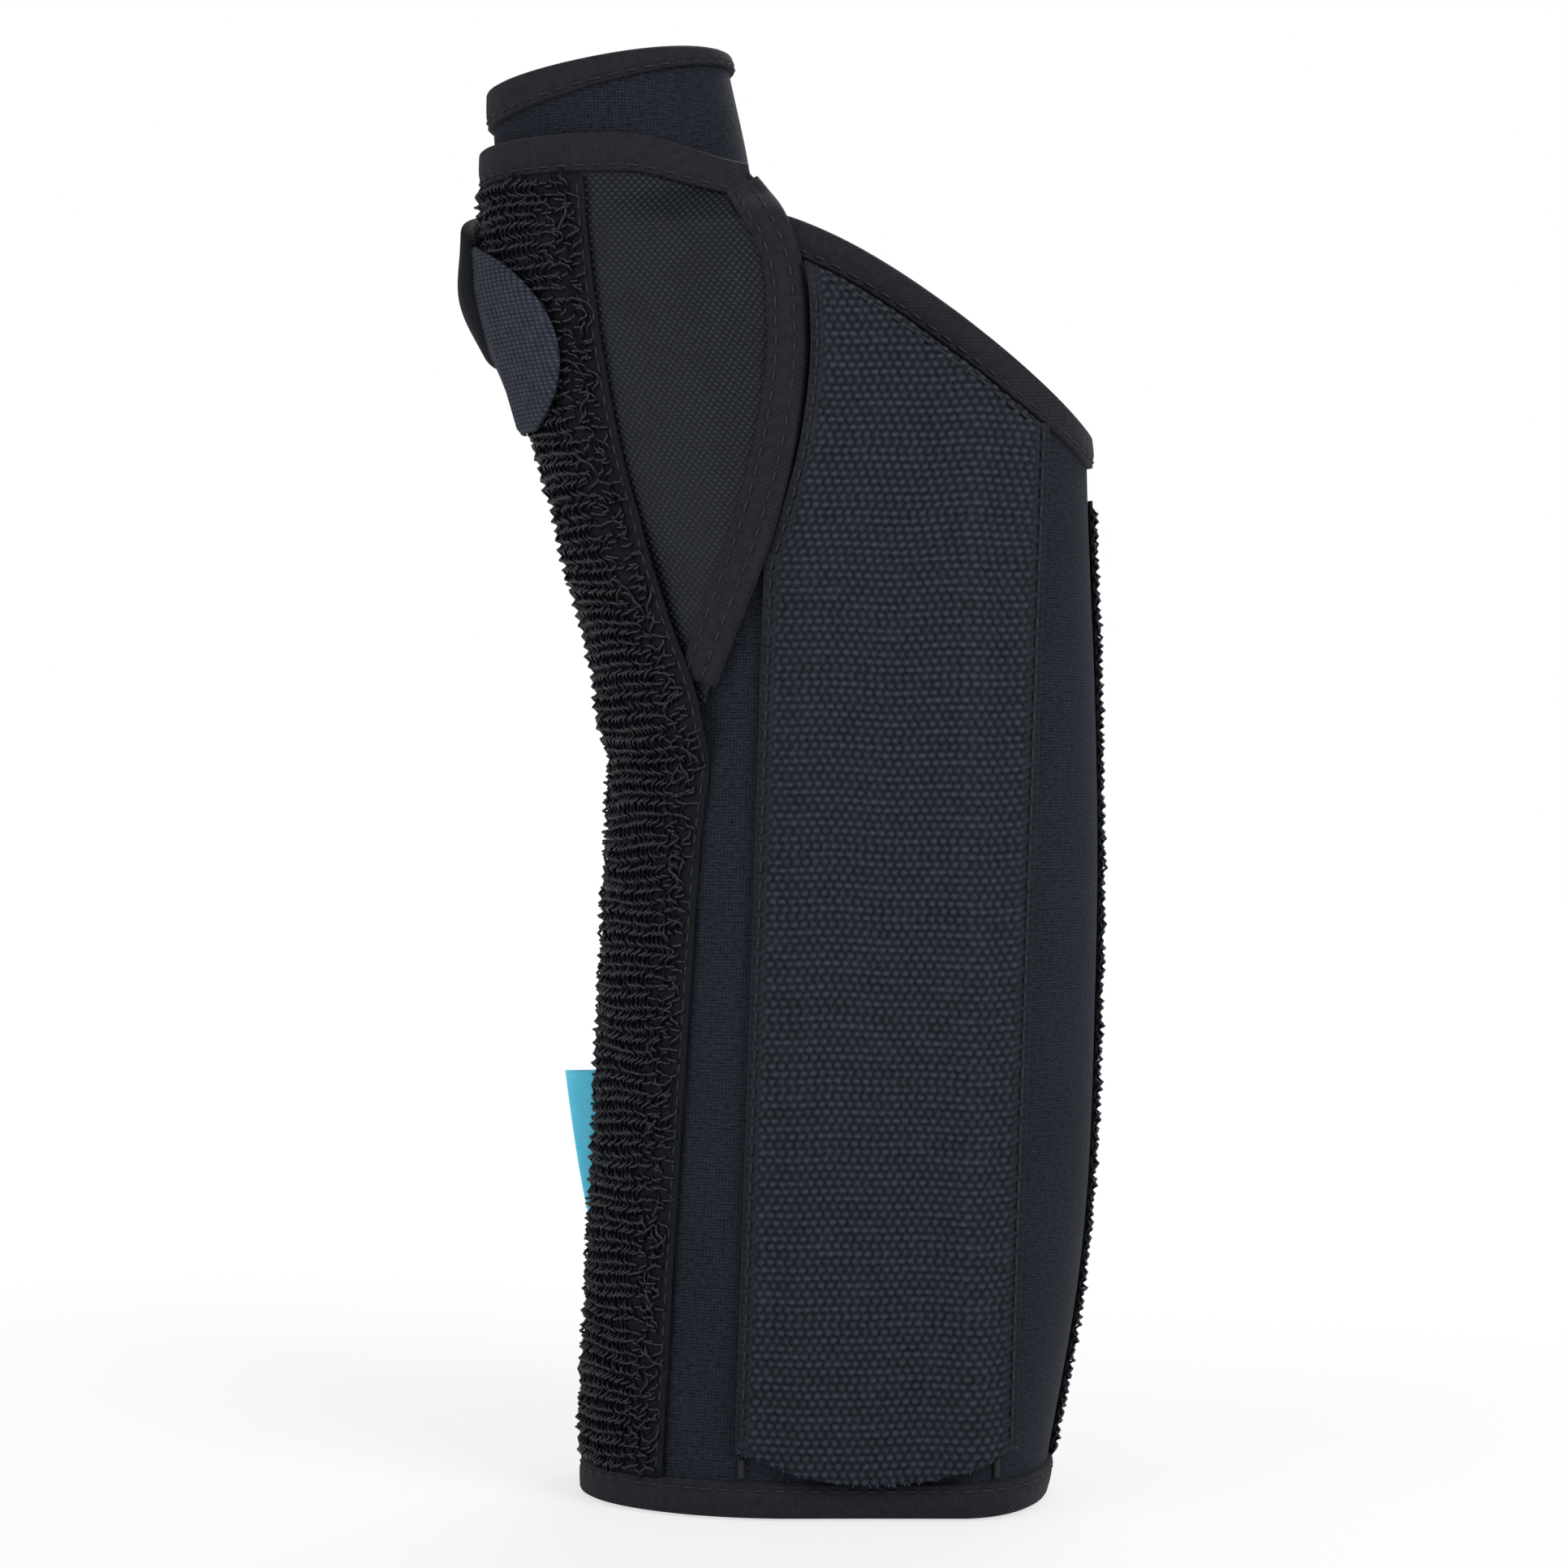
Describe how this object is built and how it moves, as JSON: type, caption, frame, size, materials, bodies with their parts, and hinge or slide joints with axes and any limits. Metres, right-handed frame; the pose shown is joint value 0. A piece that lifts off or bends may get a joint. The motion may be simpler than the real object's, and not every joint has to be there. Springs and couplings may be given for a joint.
{
  "type": "wrist guard",
  "caption": "Long neoprene wrist and thumb guard for the left hand, closed and upright, with bound edges, webbing pocket over a palm stay, loop tapes, closing flap and thumb strap",
  "frame": {"origin": "middle of the object in X and Y, at the underside of the cuff", "axes": "+Z from the cuff up towards the fingers; the palm side faces -Y and the thumb is at -X"},
  "size_m": [0.1178, 0.0656, 0.2591],
  "materials": {
    "neoprene": "closed-cell neoprene foam faced with fine navy jersey",
    "woven_nylon": "fine woven nylon, near black",
    "edge_binding": "folded twill binding, charcoal",
    "webbing": "coarse woven webbing, dark navy",
    "loop_pile": "looped pile tape, black",
    "hook_tape": "hook tape backing, dark grey",
    "thread": "bonded polyester thread, black",
    "label_ribbon": "blank satin label ribbon, bright blue",
    "stay_aluminium": "mill-finished sheet with rounded corners",
    "stay_spring_steel": "flat spring strip"
  },
  "bodies": {
    "sleeve": {"blank_label": "label_ribbon", "body_edge_binding": "edge_binding", "body_panel": "neoprene", "cuff_binding": "edge_binding", "dorsal_loop_panel": "loop_pile", "palm_edge_binding": "edge_binding", "palm_pocket_webbing": "webbing", "pocket_bartack_left": "thread", "pocket_bartack_right": "thread", "radial_loop_tape": "loop_pile", "thumb_panel": "woven_nylon", "thumb_panel_side_binding": "edge_binding", "thumb_panel_top_binding": "edge_binding", "thumb_sleeve": "neoprene", "thumb_sleeve_binding": "edge_binding", "thumb_stay": "stay_aluminium", "ulnar_loop_tape": "loop_pile", "web_binding": "edge_binding"},
    "palmar_stay": {"palmar_stay": "stay_aluminium"},
    "closure": {"closure_flap": "neoprene", "closure_flap_binding": "edge_binding", "closure_hook_tape": "hook_tape", "dorsal_stay_pocket": "webbing"},
    "dorsal_stay": {"dorsal_stay": "stay_spring_steel"},
    "thumb_strap": {"thumb_strap": "neoprene", "thumb_hook_tab": "hook_tape"}
  },
  "joints": [
    {"name": "palmar_stay_slide", "type": "slide", "parent": "sleeve", "child": "palmar_stay", "axis": [0, 0, -1], "range_m": [0, 0.2]},
    {"name": "closure_hinge", "type": "hinge", "parent": "sleeve", "child": "closure", "pos_m": [0.0396, 0.0252, 0.1], "axis": [0, 0, -1], "range_deg": [0, 120]},
    {"name": "dorsal_stay_slide", "type": "slide", "parent": "closure", "child": "dorsal_stay", "axis": [0, 0, -1], "range_m": [0, 0.18]},
    {"name": "thumb_strap_hinge", "type": "hinge", "parent": "sleeve", "child": "thumb_strap", "pos_m": [-0.042, 0.0178, 0.22], "axis": [0.1806, 0, -0.9836], "range_deg": [0, 110]}
  ]
}
